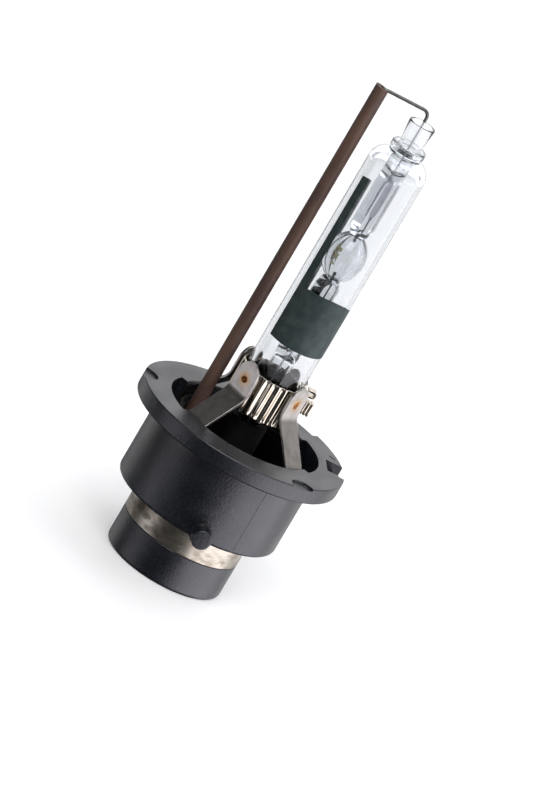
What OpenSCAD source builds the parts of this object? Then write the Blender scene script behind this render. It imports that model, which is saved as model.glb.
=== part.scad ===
// Gas-discharge headlight bulb on a round bayonet base.
// Millimetres, +Z along the lamp axis, origin at the centre of the base's bottom face.
// The insulated return wire stands on the -X side and the bayonet pegs point along +Y and -Y.

/* [Base] */
// Height from the bottom of the base to the top of the flange
base_h = 24; // [22:0.5:30]
// Radius of the flange
flange_r = 16; // [15.5:0.1:20]
// Thickness of the flange
flange_t = 2.5; // [2:0.1:4]
// Radius of the body under the flange
body_r = 12.5; // [12.3:0.1:14]
// Height of the body's lower edge above the bottom
body_z = 9.8; // [9:0.1:11.5]
// How far the lower barrel and the contact ring step in from the body
body_step = 3.5; // [3:0.1:4.2]
// Height of the contact ring's lower edge above the bottom
ring_z = 5.5; // [5:0.1:7]
// Thickness of the contact ring's metal
ring_t = 0.35; // [0.2:0.05:0.5]
// Wall of the body round the top well
body_wall = 1.7; // [1.4:0.1:2.2]
// Wall left outside the side pockets of that well
pocket_wall = 0.7; // [0.5:0.1:1]
// Radius of the connector well in the bottom of the base
socket_r = 5.2; // [4.5:0.1:6]
// Depth of the connector well
socket_depth = 8; // [7.5:0.1:8.4]
// Thickness of the floor between the two wells
floor_t = 3; // [2.5:0.1:4]

/* [Flange details] */
// Width of the keyway notch in the rim
key_w = 4.5; // [3:0.1:6]
// Depth of the keyway notch
key_depth = 1.1; // [0.6:0.1:1.5]
// Depth of the three half-round reference recesses
recess_depth = 0.35; // [0.2:0.05:0.8]
// Radius of the bayonet pegs
peg_r = 1.45; // [1.2:0.05:2]
// How far the pegs stand out from the body
peg_out = 2.3; // [1.5:0.1:3]

/* [Glass] */
// Outer radius of the outer bulb
bulb_r = 4.4; // [4:0.1:5.5]
// Wall of the outer bulb
bulb_wall = 0.8; // [0.5:0.05:1.2]
// Height of the outer bulb's lower end above the flange
bulb_low = 2.1; // [1.5:0.1:4]
// Height of the outer bulb's collar above the flange
collar_z = 45.7; // [42:0.1:50]
// Height of the arc's centre above the flange
arc_z = 28.7; // [26:0.1:31]
// Outer radius of the arc tube's bulge
arc_r = 3; // [2.6:0.1:3.3]
// Half the length of the arc tube's bulge
arc_half = 3.5; // [3.2:0.1:4.2]
// Distance between the electrode tips
arc_gap = 4.6; // [3.8:0.1:5.2]
// Outer radius of the arc tube's end tubes
stub_r = 1.65; // [1.5:0.05:2]
// Radius of the open upper end of the arc tube
mouth_r = 2; // [1.7:0.05:2.4]
// Width of the two flat seals
seal_w = 3.8; // [3:0.1:5]
// Thickness of the two flat seals
seal_t = 1.9; // [1.4:0.1:2.4]
// How far the flat seals are turned from the plane of the return wire, degrees
seal_turn = 40; // [0:5:90]
// Lower edge of the painted light mask above the flange
mask_z = 14.3; // [12:0.1:18]
// Height of the mask's wide band, measured at the side
mask_band = 7.7; // [5:0.1:12]
// Tilt of the upper edges of the mask, degrees
mask_tilt = 15.6; // [0:0.2:20]
// How far below the collar the mask's narrow stripes end, measured at the side
stripe_drop = 5.4; // [4.8:0.1:12]

/* [Clamp and straps] */
// Depth of the flutes pressed in the clamp sleeve
flute_depth = 0.35; // [0.15:0.05:0.5]
// Lower edge of the clamp sleeve above the flange
sleeve_low = 3; // [2.6:0.1:4.4]
// Height of the clamp sleeve
sleeve_h = 5.8; // [4.5:0.1:7]
// Number of flutes round the sleeve
flutes = 26; // [18:2:32]
// Width of each strap
strap_w = 3.9; // [3:0.1:4.5]
// Thickness of each strap
strap_t = 0.4; // [0.3:0.05:0.6]
// Height of the strap's bend above the flange
strap_bend = 4.9; // [4:0.1:5.5]
// Height of the strap's rounded end above the flange
strap_top = 9.8; // [9:0.1:11]

/* [Return wire] */
// Clearance between the ceramic tube and the wall of the cup
tube_clear = 0.18; // [0.05:0.01:0.6]
// Outer radius of the ceramic tube
tube_r = 1.03; // [0.9:0.01:1.1]
// Height of the ceramic tube's upper end above the arc tube's open end
tube_rise = 2.2; // [1.8:0.1:4]
// Radius of the return wire
wire_r = 0.25; // [0.2:0.01:0.3]
// Inner bend radius of the return wire
wire_bend = 0.7; // [0.5:0.05:1.2]
// Radius of the lead wires and electrodes
lead_r = 0.15; // [0.1:0.01:0.18]

/* [Hidden] */
$fn = 96;

gap = 0.02;                     // assembly clearance round a part that sits in another
eps = 0.01;                     // how far a cutter runs past the face it opens
edge_r = 0.6;                   // moulded radius on the base's lower edges

// Base
barrel_r = body_r - body_step;             // lower barrel and contact ring
well_r = body_r - body_wall;               // round well in the top
pocket_r = body_r - pocket_wall;           // side pockets of that well
neck_r = barrel_r - ring_t - gap;          // plastic neck under the contact ring
spigot_r = barrel_r - 1.6;                 // thinner neck inside the lower barrel
lip_t = 0.8;                               // inward lip at the bottom of the lower barrel
floor_z = socket_depth + floor_t;          // top of the floor between the wells
flange_z = base_h - flange_t;              // underside of the flange
peg_z = body_z + 1.05;                     // height of the peg axis
pocket_half = 32;                          // half angle of a side pocket, degrees
pocket_depth = 5;                          // depth of the side pockets below the flange top
recess_r = 1.9;                            // radius of a half-round recess
recess_at = flange_r - 0.2;                // distance of its centre from the axis
recess_angles = [-55, 63, 176];
key_angle = 2;                             // where the keyway is
slot_angle = 18;                           // where the small slot beside it is
step_angle = 41;                           // where the long rim step begins
step_span = 28;                            // how far round it runs
step_depth = 1.4;                          // how far the rim steps in there

// Anchor ring and inner cup
anchor_t = 0.8;
anchor_w = 0.9;
anchor_r = well_r - gap;                   // outer radius of the anchor ring
cup_r = anchor_r - anchor_w - gap;         // outer radius of the inner cup
cup_wall = 1.1;
cup_drop = 2;                              // cup rim below the flange top
cup_ridge = 0.45;                          // thickness of the ridge on the cup's rim
potting_t = 2.6;
potting_z = floor_z + potting_t;
stub_wall = 1.2;                           // wall of the sleeve round the burner's stub
stub_reach = 1.2;                          // the sleeve ends this far above the flange

// Glass, heights from the bottom of the base
bulb_z0 = base_h + bulb_low;
collar_z0 = base_h + collar_z;
collar_h = 1.5;
collar_r = bulb_r - 1.8;
collar_groove = 0.25;                      // depth of the groove under the collar
shoulder = 2.2;                            // radius of the bulb's upper shoulder
shoulder_slope = 20;                       // slope of the cone between shoulder and collar
heel = 1.5;                                // radius of the bulb's lower edge
arc_c = base_h + arc_z;
bulge_z0 = arc_c - arc_half;
bulge_z1 = arc_c + arc_half;
chamber_r = arc_r - 1.2;                   // inside of the bulge
chamber_half = arc_half - 0.1;
bulge_neck = 1.25;                         // radius where the bulge meets a seal
seal_low = base_h + 12.2;
seal_high = collar_z0 - 3.2;
stub_z0 = floor_z + 4.2;                   // lower end of the arc tube, inside the base
mouth_z = collar_z0 + 5.1;                 // open upper end of the arc tube
tube_wall = 0.35;
foil_w = 1.5;
foil_t = 0.06;
foil_len = 7;
lap = 0.5;                                 // how far a lead or electrode laps past a foil's end
upper_foil_z = seal_high - lap - foil_len;
lower_foil_z = seal_low + lap;
tip_r = 0.22;

// Mask, angles from +X
mask_t = 0.05;
stripe_top = collar_z - stripe_drop;
mask_from = -153.5;                        // the band runs from here round the front
mask_to = 131.5;
stripe_span = 18;

// Sleeve, lock and straps
sleeve_t = 0.2;
sleeve_gap = 0.1;                          // between the glass and the flutes' valleys
sleeve_r = bulb_r + sleeve_gap + sleeve_t + flute_depth;   // crests of the flutes
sleeve_z0 = base_h + sleeve_low;
sleeve_z1 = sleeve_z0 + sleeve_h;
plate_r = sleeve_r + gap;                  // inner face of a strap's upright plate
strap_foot_r = sqrt(well_r * well_r - strap_w * strap_w / 4) - gap;   // outer face of a leg
strap_foot_z = floor_z + anchor_t;
strap_in_z = base_h - 0.5;                 // where the strap starts to lean in
strap_angles = [221, 319, 139, 41];        // front left, front right, rear left, rear right
weld_z = base_h + strap_top - 2.7;
weld_r = 0.5;
weld_t = 0.08;
lock_x0 = sleeve_r + 2 * gap;
lock_out = 1.5;
lock_w = 1.5;
lock_h = 1.1;
crimp_out = 1.9;
crimp_h = 2;
crimp_z = sleeve_z0 + 2.4;

// Return wire
tube_x = cup_r - cup_wall - tube_clear - tube_r;   // distance of the ceramic tube from the axis
tube_z0 = potting_z - 1.4;                 // the ceramic tube stands in the potting
tube_z1 = mouth_z + tube_rise;
tube_bore = wire_r + 0.1;
terminal_z = 7;
terminal_t = 0.5;
cross_z = tube_z1 - wire_r;                // axis of the wire's cross piece
bend_mid = wire_bend + wire_r;             // bend radius of the wire's axis
drop_z = cross_z - bend_mid - 0.6;         // where the wire meets the upper lead
bore_r = lead_r + gap;

// A ring between two radii, standing from z0 to z1.
module ring(outer, inner, z0, z1) {
    translate([0, 0, z0])
        difference() {
            cylinder(r = outer, h = z1 - z0);
            translate([0, 0, -eps])
                cylinder(r = inner, h = z1 - z0 + 2 * eps);
        }
}

// A sector of a disc, used to cut or to keep part of a ring.
module sector(radius, a0, a1, h) {
    steps = 8;
    linear_extrude(height = h)
        polygon(concat([[0, 0]],
            [for (i = [0 : steps]) let (a = a0 + (a1 - a0) * i / steps)
                radius / cos((a1 - a0) / steps / 2) * [cos(a), sin(a)]]));
}

// One bayonet peg with the small raised seat at its root, along -Y.
module peg() {
    translate([0, -(body_r - 1), peg_z])
        rotate([90, 0, 0]) {
            cylinder(r = peg_r, h = peg_out + 1);
            cylinder(r = peg_r + 0.25, h = 1.15);
        }
}

// Outer shape of the base with its rounded lower edge.
module base_outline() {
    rotate_extrude()
        union() {
            translate([0, lip_t])
                square([spigot_r, ring_z - lip_t]);
            translate([0, ring_z])
                square([neck_r, body_z - ring_z + eps]);
            translate([0, body_z])
                square([body_r - edge_r, edge_r + eps]);
            translate([body_r - edge_r, body_z + edge_r])
                circle(r = edge_r);
            translate([0, body_z + edge_r])
                square([body_r, flange_z - body_z - edge_r + eps]);
            translate([0, flange_z])
                square([flange_r, flange_t]);
        }
}

// Everything that is cut out of the flange's rim and top face.
module flange_cuts() {
    // keyway notch in the rim, and the pocket that runs in from it
    rotate(key_angle) {
        translate([flange_r - key_depth, -key_w / 2, flange_z - eps])
            cube([key_depth + 1, key_w, flange_t + 2 * eps]);
        translate([flange_r - 2.9, -key_w / 2 + 0.4, base_h - 1.2])
            cube([2.9, key_w - 0.4, 1.2 + eps]);
    }
    // small slot beside them
    rotate(slot_angle)
        translate([flange_r - 1.2, 0, base_h - 0.5])
            rotate(-48)
                translate([-0.55, -0.17, 0])
                    cube([1.1, 0.34, 0.5 + eps]);
    // long step in the rim behind the keyway
    difference() {
        translate([0, 0, flange_z - eps])
            sector(flange_r + 1, step_angle, step_angle + step_span, flange_t + 2 * eps);
        translate([0, 0, flange_z - 1])
            cylinder(r = flange_r - step_depth, h = flange_t + 2);
    }
    // half-round reference recesses, open to the rim
    for (a = recess_angles)
        rotate(a)
            translate([recess_at, 0, base_h - recess_depth])
                cylinder(r = recess_r, h = recess_depth + eps);
}

// The round well in the top of the base with its two side pockets.
module top_well() {
    translate([0, 0, floor_z])
        cylinder(r = well_r, h = base_h - floor_z + eps);
    for (a = [0, 180])
        translate([0, 0, base_h - pocket_depth])
            intersection() {
                cylinder(r = pocket_r, h = pocket_depth + eps);
                sector(pocket_r + 1, a - pocket_half, a + pocket_half, pocket_depth + eps);
            }
}

// Channel through the floor and neck for the return wire, and the seat of its terminal.
module return_channel() {
    translate([-tube_x, 0, terminal_z + terminal_t])
        cylinder(r = wire_r + gap, h = floor_z - terminal_z, $fn = 32);
    translate([-neck_r - 1, -1, terminal_z])
        cube([neck_r + 1 - tube_x + wire_r + 0.3, 2, terminal_t]);
}

module base_housing() {
    color("#2a2b30")
        difference() {
            union() {
                base_outline();
                for (a = [0, 180])
                    rotate(a) peg();
            }
            top_well();
            flange_cuts();
            return_channel();
            translate([0, 0, lip_t - eps])
                cylinder(r = socket_r, h = socket_depth - lip_t + eps);
            cylinder(r = 0.9 + gap, h = floor_z + 1, $fn = 48);
        }
}

// Sleeve pushed on from below: it traps the contact ring against the body.
module lower_barrel() {
    color("#2c2d32")
        difference() {
            union() {
                translate([0, 0, edge_r])
                    cylinder(r = barrel_r, h = ring_z - edge_r);
                rotate_extrude() {
                    square([barrel_r - edge_r, edge_r + eps]);
                    translate([barrel_r - edge_r, edge_r])
                        circle(r = edge_r);
                }
            }
            translate([0, 0, lip_t])
                cylinder(r = spigot_r + gap, h = ring_z);
            translate([0, 0, -eps])
                cylinder(r = socket_r, h = lip_t + 2 * eps);
        }
}

module contact_ring() {
    color("#b8ab97")
        ring(barrel_r, barrel_r - ring_t, ring_z, body_z);
}

// Strip from the return wire to the contact ring.
module ring_terminal() {
    color("#c9a14a")
        intersection() {
            translate([-neck_r - 1, -0.9, terminal_z])
                cube([neck_r + 1 - tube_x + wire_r + 0.2, 1.8, terminal_t]);
            cylinder(r = barrel_r - ring_t - gap / 2, h = base_h);
        }
}

// Riveted contact in the floor, reached through the connector well.
module centre_contact() {
    head_z = floor_z;
    color("#c8b070")
        difference() {
            union() {
                translate([0, 0, socket_depth - 3.4])
                    cylinder(r = 1.9, h = 3.4);
                translate([0, 0, socket_depth])
                    cylinder(r = 0.9, h = floor_t);
                translate([0, 0, head_z])
                    cylinder(r = 1.5, h = 0.6);
            }
            translate([0, 0, socket_depth - 1])
                cylinder(r = bore_r, h = base_h, $fn = 32);
        }
}

// Insulating cup that lines the well inside the straps.
module inner_cup() {
    rim_z = base_h - cup_drop;
    color("#1d1e22")
        union() {
            ring(cup_r, cup_r - cup_wall, floor_z, rim_z);
            ring(cup_r - 0.2, cup_r - 0.2 - cup_ridge, rim_z - eps, rim_z + 0.7);
        }
}

// Insulating sleeve round the arc tube's lower stub, standing on the cement.
module stub_sleeve() {
    color("#1a1b1f")
        ring(stub_r + 0.1 + stub_wall, stub_r + 0.1, potting_z, base_h + stub_reach);
}

// Cement that holds the arc tube's stub lead and the ceramic tube in the cup.
module potting_fill() {
    color("#55524d")
        difference() {
            translate([0, 0, floor_z])
                cylinder(r = cup_r - cup_wall - gap, h = potting_t);
            translate([0, 0, floor_z - eps])
                cylinder(r = 1.5 + gap, h = 0.6 + gap + eps);
            cylinder(r = bore_r, h = base_h, $fn = 32);
            translate([-tube_x, 0, tube_z0])
                cylinder(r = tube_r + gap, h = base_h, $fn = 48);
            translate([-tube_x, 0, 0])
                cylinder(r = wire_r + gap, h = base_h, $fn = 32);
        }
}

// Ring at the bottom of the well that the four straps stand on.
module anchor_ring() {
    color("#9a9690")
        ring(anchor_r, anchor_r - anchor_w, floor_z, floor_z + anchor_t);
}

// Half profile of the bulb: a rounded heel, a straight side, and a round shoulder
// that runs on as a cone up to the collar's radius top_r at height z1.
module bulb_profile(r, z0, z1, low_round, high_round, top_r) {
    tangent_r = r - high_round * (1 - sin(shoulder_slope));
    shoulder_z = z1 - high_round * cos(shoulder_slope) - (tangent_r - top_r) * tan(shoulder_slope);
    translate([0, z0])
        square([r - low_round, low_round + 1]);
    translate([r - low_round, z0 + low_round])
        circle(r = low_round);
    translate([0, z0 + low_round])
        square([r, shoulder_z - z0 - low_round]);
    intersection() {
        translate([r - high_round, shoulder_z])
            circle(r = high_round);
        translate([0, shoulder_z - eps])
            square([r, high_round + 1]);
    }
    polygon([
        [0, shoulder_z - eps],
        [r - high_round, shoulder_z - eps],
        [tangent_r, shoulder_z + high_round * cos(shoulder_slope)],
        [top_r, z1],
        [0, z1]]);
}

module outer_bulb() {
    color("#c9d2e0", 0.35)
        difference() {
            union() {
                rotate_extrude()
                    bulb_profile(bulb_r, bulb_z0, collar_z0, heel, shoulder, collar_r - 0.2);
                translate([0, 0, collar_z0 - eps])
                    cylinder(r = collar_r - collar_groove, h = 0.3);
                translate([0, 0, collar_z0 + 0.25])
                    cylinder(r = collar_r, h = collar_h - 0.25);
            }
            rotate_extrude()
                bulb_profile(bulb_r - bulb_wall, bulb_z0 + bulb_wall, collar_z0 - bulb_wall,
                    heel - 0.6, shoulder - 0.5, stub_r);
            cylinder(r = stub_r + gap, h = 3 * base_h + collar_z);
            translate([0, 0, collar_z0 + collar_h - 0.5])
                cylinder(r = collar_r - 0.4, h = 1);
        }
}

// Everything above a plane through a height on the axis, tilted up towards -Y.
module above_tilted(z) {
    translate([0, 0, z])
        rotate([-mask_tilt, 0, 0])
            translate([-flange_r, -flange_r, 0])
                cube([2 * flange_r, 2 * flange_r, 2 * stripe_top]);
}

// Fired coating: a band round the bulb and a stripe up each of its ends. The window
// between the stripes has a tilted lower edge, and the stripes' tops are cut off
// parallel to it.
module light_mask() {
    skin_r = bulb_r + gap;
    color("#2f3838")
        difference() {
            rotate(mask_from)
                rotate_extrude(angle = mask_to - mask_from)
                    translate([skin_r, base_h + mask_z])
                        square([mask_t, stripe_top + bulb_r - mask_z]);
            intersection() {
                rotate(mask_from + stripe_span)
                    rotate_extrude(angle = mask_to - mask_from - 2 * stripe_span)
                        translate([skin_r - 1, base_h + mask_z + 1])
                            square([2, stripe_top]);
                above_tilted(base_h + mask_z + mask_band);
            }
            above_tilted(base_h + stripe_top);
        }
}

// Flat seal of the arc tube: a turned blank with tapered ends, pressed flat on two sides.
module seal(z0, z1) {
    taper = 1.4;
    end_r = stub_r - 0.2;
    intersection() {
        rotate_extrude()
            polygon([[0, z0], [end_r, z0], [seal_w / 2, z0 + taper], [seal_w / 2, z1 - taper],
                [end_r, z1], [0, z1]]);
        rotate(seal_turn)
            translate([-seal_w, -seal_t / 2, z0 - eps])
                cube([2 * seal_w, seal_t, z1 - z0 + 2 * eps]);
    }
}

module arc_tube() {
    seal_join = 0.6;                        // how far a seal runs into the bulge's neck
    color("#d5dbe6", 0.35)
        difference() {
            union() {
                translate([0, 0, stub_z0])
                    cylinder(r = stub_r, h = seal_low - stub_z0 + 1);
                translate([0, 0, seal_high - 1])
                    cylinder(r = stub_r, h = collar_z0 + collar_h - seal_high + 1);
                translate([0, 0, collar_z0 + collar_h - eps])
                    cylinder(r1 = stub_r, r2 = mouth_r, h = mouth_z - collar_z0 - collar_h + eps);
                seal(seal_low, bulge_z0 + seal_join);
                seal(bulge_z1 - seal_join, seal_high);
                // bulge: an arc that ends on the necks
                rotate_extrude()
                    intersection() {
                        translate([0, bulge_z0]) square([arc_r + 1, 2 * arc_half]);
                        bulge_arc(arc_r, arc_half, bulge_neck);
                    }
            }
            // discharge chamber
            rotate_extrude()
                intersection() {
                    translate([0, arc_c - chamber_half]) square([arc_r, 2 * chamber_half]);
                    bulge_arc(chamber_r, chamber_half, 0.3);
                }
            // open lower and upper tubes
            translate([0, 0, stub_z0 - eps])
                cylinder(r = stub_r - tube_wall, h = seal_low - stub_z0);
            translate([0, 0, seal_high])
                cylinder(r = stub_r - tube_wall, h = collar_z0 + collar_h - seal_high + eps);
            translate([0, 0, collar_z0 + collar_h])
                cylinder(r1 = stub_r - tube_wall, r2 = mouth_r - tube_wall,
                    h = mouth_z - collar_z0 - collar_h + eps);
            // bore for the leads and electrodes, and the two foil seats
            translate([0, 0, seal_low - 1])
                cylinder(r = bore_r, h = seal_high - seal_low + 2, $fn = 32);
            foil_seat(lower_foil_z);
            foil_seat(upper_foil_z);
        }
}

// Half section of a bulge whose side is one circular arc through the two necks.
module bulge_arc(r, half, neck) {
    rise = r - neck;
    arc = (half * half + rise * rise) / (2 * rise);
    translate([r - arc, arc_c]) circle(r = arc, $fn = 180);
}

module foil_seat(z0) {
    rotate(seal_turn)
        translate([-foil_w / 2 - gap, -foil_t / 2, z0 - gap])
            cube([foil_w + 2 * gap, foil_t, foil_len + 2 * gap]);
}

module foil(z0) {
    color("#6f6f78")
        rotate(seal_turn)
            difference() {
                translate([-foil_w / 2, -foil_t / 2, z0])
                    cube([foil_w, foil_t, foil_len]);
                for (z = [z0 - eps, z0 + foil_len - lap])
                    translate([-bore_r, -foil_t, z])
                        cube([2 * bore_r, 2 * foil_t, lap + eps]);
            }
}

// Tungsten rod with a rounded tip, standing from z0 up to the tip at z1.
module electrode(z0, z1) {
    color("#4a4a50") {
        translate([0, 0, z0])
            cylinder(r = lead_r, h = z1 - z0 - tip_r, $fn = 32);
        translate([0, 0, z1 - tip_r])
            sphere(r = tip_r, $fn = 32);
    }
}

module upper_electrode() {
    translate([0, 0, 2 * arc_c])
        mirror([0, 0, 1])
            electrode(2 * arc_c - upper_foil_z - lap, arc_c - arc_gap / 2);
}

module lower_electrode() {
    electrode(lower_foil_z + foil_len - lap, arc_c - arc_gap / 2);
}

module upper_lead() {
    color("#4d4f52")
        translate([0, 0, upper_foil_z + foil_len - lap])
            cylinder(r = lead_r, h = drop_z - upper_foil_z - foil_len + lap, $fn = 32);
}

module lower_lead() {
    lead_z0 = socket_depth - 0.9;
    color("#4d4f52")
        translate([0, 0, lead_z0])
            cylinder(r = lead_r, h = lower_foil_z + lap - lead_z0, $fn = 32);
}

// Condensed metal salts on the inner wall of the chamber, towards the return wire.
module salt_fill() {
    skin = 0.12;
    color("#b9ad6a")
        intersection() {
            difference() {
                rotate_extrude()
                    intersection() {
                        translate([0, arc_c - chamber_half]) square([arc_r, 2 * chamber_half]);
                        bulge_arc(chamber_r - gap, chamber_half - gap, 0.3);
                    }
                rotate_extrude()
                    intersection() {
                        translate([0, arc_c - chamber_half]) square([arc_r, 2 * chamber_half]);
                        bulge_arc(chamber_r - skin, chamber_half - skin, 0.2);
                    }
            }
            translate([0, 0, arc_c - 1.4])
                sector(arc_r, 146, 236, 2.8);
        }
}

// Fluted band that grips the outer bulb.
module clamp_sleeve() {
    points = 8 * flutes;
    mid_r = sleeve_r - flute_depth / 2;
    function wave(offset) = [for (i = [0 : points - 1])
        let (a = 360 * i / points, r = mid_r + flute_depth / 2 * cos(flutes * a) - offset)
            [r * cos(a), r * sin(a)]];
    color("#c8c2b4")
        translate([0, 0, sleeve_z0])
            linear_extrude(height = sleeve_h)
                difference() {
                    polygon(wave(0));
                    polygon(wave(sleeve_t));
                }
}

// Folded end of the band that stands out over the joint.
module clamp_lock() {
    color("#bdb6a8")
        translate([lock_x0, -lock_w / 2, sleeve_z1 - lock_h + 0.3])
            difference() {
                cube([lock_out, lock_w, lock_h]);
                translate([-eps, -eps, 0.25])
                    cube([lock_out - 0.25, lock_w + 2 * eps, lock_h - 0.5]);
            }
}

// Grooved block crimped over the two ends of the band.
module clamp_crimp() {
    groove = 0.16;
    color("#3a3a3e")
        difference() {
            translate([lock_x0, -0.8, crimp_z])
                cube([crimp_out, 1.6, crimp_h]);
            for (x = [0.5 : 0.45 : crimp_out - 0.3], side = [-1, 1])
                translate([lock_x0 + x, side * 0.8 - groove, crimp_z - eps])
                    cube([groove, 2 * groove, crimp_h + 2 * eps]);
        }
}

// Outline of a strap seen from its side: radius against height.
module strap_side() {
    t = strap_t;
    bend_z = base_h + strap_bend;
    lean = atan2(strap_foot_r - t - plate_r, bend_z - strap_in_z);
    k = t * tan(lean / 2);                  // keeps the thickness through both bends
    polygon([
        [strap_foot_r, strap_foot_z],
        [strap_foot_r, strap_in_z + k],
        [plate_r + t, bend_z + k],
        [plate_r + t, base_h + strap_top],
        [plate_r, base_h + strap_top],
        [plate_r, bend_z],
        [strap_foot_r - t, strap_in_z],
        [strap_foot_r - t, strap_foot_z]]);
}

// One strap along +X, with a half-round upper end; rotated to its place.
module strap(angle) {
    round_r = strap_w / 2;
    round_z = base_h + strap_top - round_r;
    color("#a8a29e")
        rotate(angle)
            intersection() {
                translate([0, strap_w / 2, 0])
                    rotate([90, 0, 0])
                        linear_extrude(height = strap_w)
                            strap_side();
                union() {
                    translate([0, -strap_w / 2 - 1, 0])
                        cube([flange_r, strap_w + 2, round_z]);
                    translate([0, 0, round_z])
                        rotate([0, 90, 0])
                            cylinder(r = round_r, h = flange_r);
                }
            }
}

module strap_front_left() { strap(strap_angles[0]); }
module strap_front_right() { strap(strap_angles[1]); }
module strap_rear_left() { strap(strap_angles[2]); }
module strap_rear_right() { strap(strap_angles[3]); }

// Weld nuggets, one on the plate of each strap.
module weld_spots() {
    color("#8a4b22")
        for (a = strap_angles)
            rotate(a)
                translate([plate_r + strap_t, 0, weld_z])
                    rotate([0, 90, 0])
                        cylinder(r = weld_r, h = weld_t, $fn = 32);
}

// Insulating tube round the return wire, notched where the wire leaves it.
module ceramic_tube() {
    notch = 2 * wire_r + 2 * gap;
    color("#4a332b")
        difference() {
            translate([-tube_x, 0, tube_z0])
                cylinder(r = tube_r, h = tube_z1 - tube_z0);
            translate([-tube_x, 0, tube_z0 - eps])
                cylinder(r = tube_bore, h = tube_z1 - tube_z0 + 2 * eps, $fn = 48);
            translate([-tube_x, -notch / 2, cross_z - bend_mid - wire_r])
                cube([2 * tube_r, notch, flange_r]);
        }
}

// Quarter bend of the wire in the XZ plane, about the Y axis.
module wire_elbow() {
    rotate([90, 0, 0])
        rotate_extrude(angle = 90)
            translate([bend_mid, 0])
                circle(r = wire_r, $fn = 32);
}

// Stiff wire: up inside the ceramic tube, across, and down to meet the upper lead.
module return_wire() {
    wire_z0 = terminal_z + terminal_t;
    run = tube_x - 2 * bend_mid;
    color("#4f5254")
        union() {
            translate([-tube_x, 0, wire_z0])
                cylinder(r = wire_r, h = cross_z - bend_mid - wire_z0, $fn = 32);
            translate([-tube_x + bend_mid, 0, cross_z - bend_mid])
                mirror([1, 0, 0]) wire_elbow();
            translate([-tube_x + bend_mid, 0, cross_z])
                rotate([0, 90, 0]) cylinder(r = wire_r, h = run, $fn = 32);
            translate([-bend_mid, 0, cross_z - bend_mid])
                wire_elbow();
            translate([0, 0, drop_z])
                cylinder(r = wire_r, h = cross_z - bend_mid - drop_z, $fn = 32);
        }
}

base_housing();
lower_barrel();
contact_ring();
ring_terminal();
centre_contact();
inner_cup();
stub_sleeve();
potting_fill();
anchor_ring();
outer_bulb();
light_mask();
arc_tube();
upper_electrode();
lower_electrode();
foil(upper_foil_z);  // upper_foil
foil(lower_foil_z);  // lower_foil
upper_lead();
lower_lead();
salt_fill();
clamp_sleeve();
clamp_lock();
clamp_crimp();
strap_front_left();
strap_front_right();
strap_rear_left();
strap_rear_right();
weld_spots();
ceramic_tube();
return_wire();
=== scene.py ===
# %% [markdown]
# # A gas-discharge headlight bulb
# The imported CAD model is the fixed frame: it says where every part of the bulb is.
# This script makes the parts again with the edges, bends and finishes that the real
# ones have, lights them softly and sets up the camera.

# %% Load the frame
import math

import bmesh
import bpy
from mathutils import Matrix, Vector, noise


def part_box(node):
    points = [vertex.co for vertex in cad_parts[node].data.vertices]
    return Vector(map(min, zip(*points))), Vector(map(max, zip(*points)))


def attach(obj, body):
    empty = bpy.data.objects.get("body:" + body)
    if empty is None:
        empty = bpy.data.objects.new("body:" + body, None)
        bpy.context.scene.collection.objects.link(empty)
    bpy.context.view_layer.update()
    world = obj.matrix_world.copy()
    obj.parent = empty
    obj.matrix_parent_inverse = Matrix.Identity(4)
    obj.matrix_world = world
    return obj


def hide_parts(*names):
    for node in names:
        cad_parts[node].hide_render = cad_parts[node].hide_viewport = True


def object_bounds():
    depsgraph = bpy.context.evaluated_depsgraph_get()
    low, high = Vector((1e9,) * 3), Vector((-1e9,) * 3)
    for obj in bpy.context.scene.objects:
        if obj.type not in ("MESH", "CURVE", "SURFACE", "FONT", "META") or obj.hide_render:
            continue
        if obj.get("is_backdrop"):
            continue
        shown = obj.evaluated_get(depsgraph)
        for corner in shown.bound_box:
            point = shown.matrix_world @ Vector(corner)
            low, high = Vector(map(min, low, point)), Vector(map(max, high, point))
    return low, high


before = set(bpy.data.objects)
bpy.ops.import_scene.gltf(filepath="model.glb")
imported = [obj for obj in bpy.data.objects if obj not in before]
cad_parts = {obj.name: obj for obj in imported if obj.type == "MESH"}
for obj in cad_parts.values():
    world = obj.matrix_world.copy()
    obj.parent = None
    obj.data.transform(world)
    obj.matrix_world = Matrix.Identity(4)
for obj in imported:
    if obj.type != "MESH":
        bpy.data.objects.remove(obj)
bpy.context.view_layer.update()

MM = 0.001

# %% [markdown]
# ## Reading sizes from the frame
# Almost every part is round about the lamp axis, so three numbers place it: its radius
# and its lowest and highest point. They could be typed in again from the drawing, but
# read from the frame they follow it when it changes. The shapes below are drawn in
# millimetres, because the drawing of a bulb is, and each piece is scaled to metres
# when it is finished.

# %% Radius and heights of the turned parts
GAP = 0.02  # clearance between neighbouring parts, in mm


def span(node):
    """Radius about the lamp axis, lowest and highest point of a CAD node, in mm."""
    low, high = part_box(node)
    return round(high.y / MM, 2), round(low.z / MM, 2), round(high.z / MM, 2)


flange_r, _, flange_top = span("base_housing")
barrel_r, foot_z, barrel_top = span("lower_barrel")
ring_r, ring_low, ring_high = span("contact_ring")
anchor_r, well_floor, _ = span("anchor_ring")
cup_r, _, cup_top = span("inner_cup")
bulb_r, bulb_low, bulb_high = span("outer_bulb")
print("flange", flange_r, "barrel", barrel_r, "bulb", bulb_r, bulb_low, bulb_high)

# %% [markdown]
# The four straps stand round the lamp like a slightly narrowed cross. Where they are
# decides both their own shape and where the heat tint of their welds is.

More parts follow.
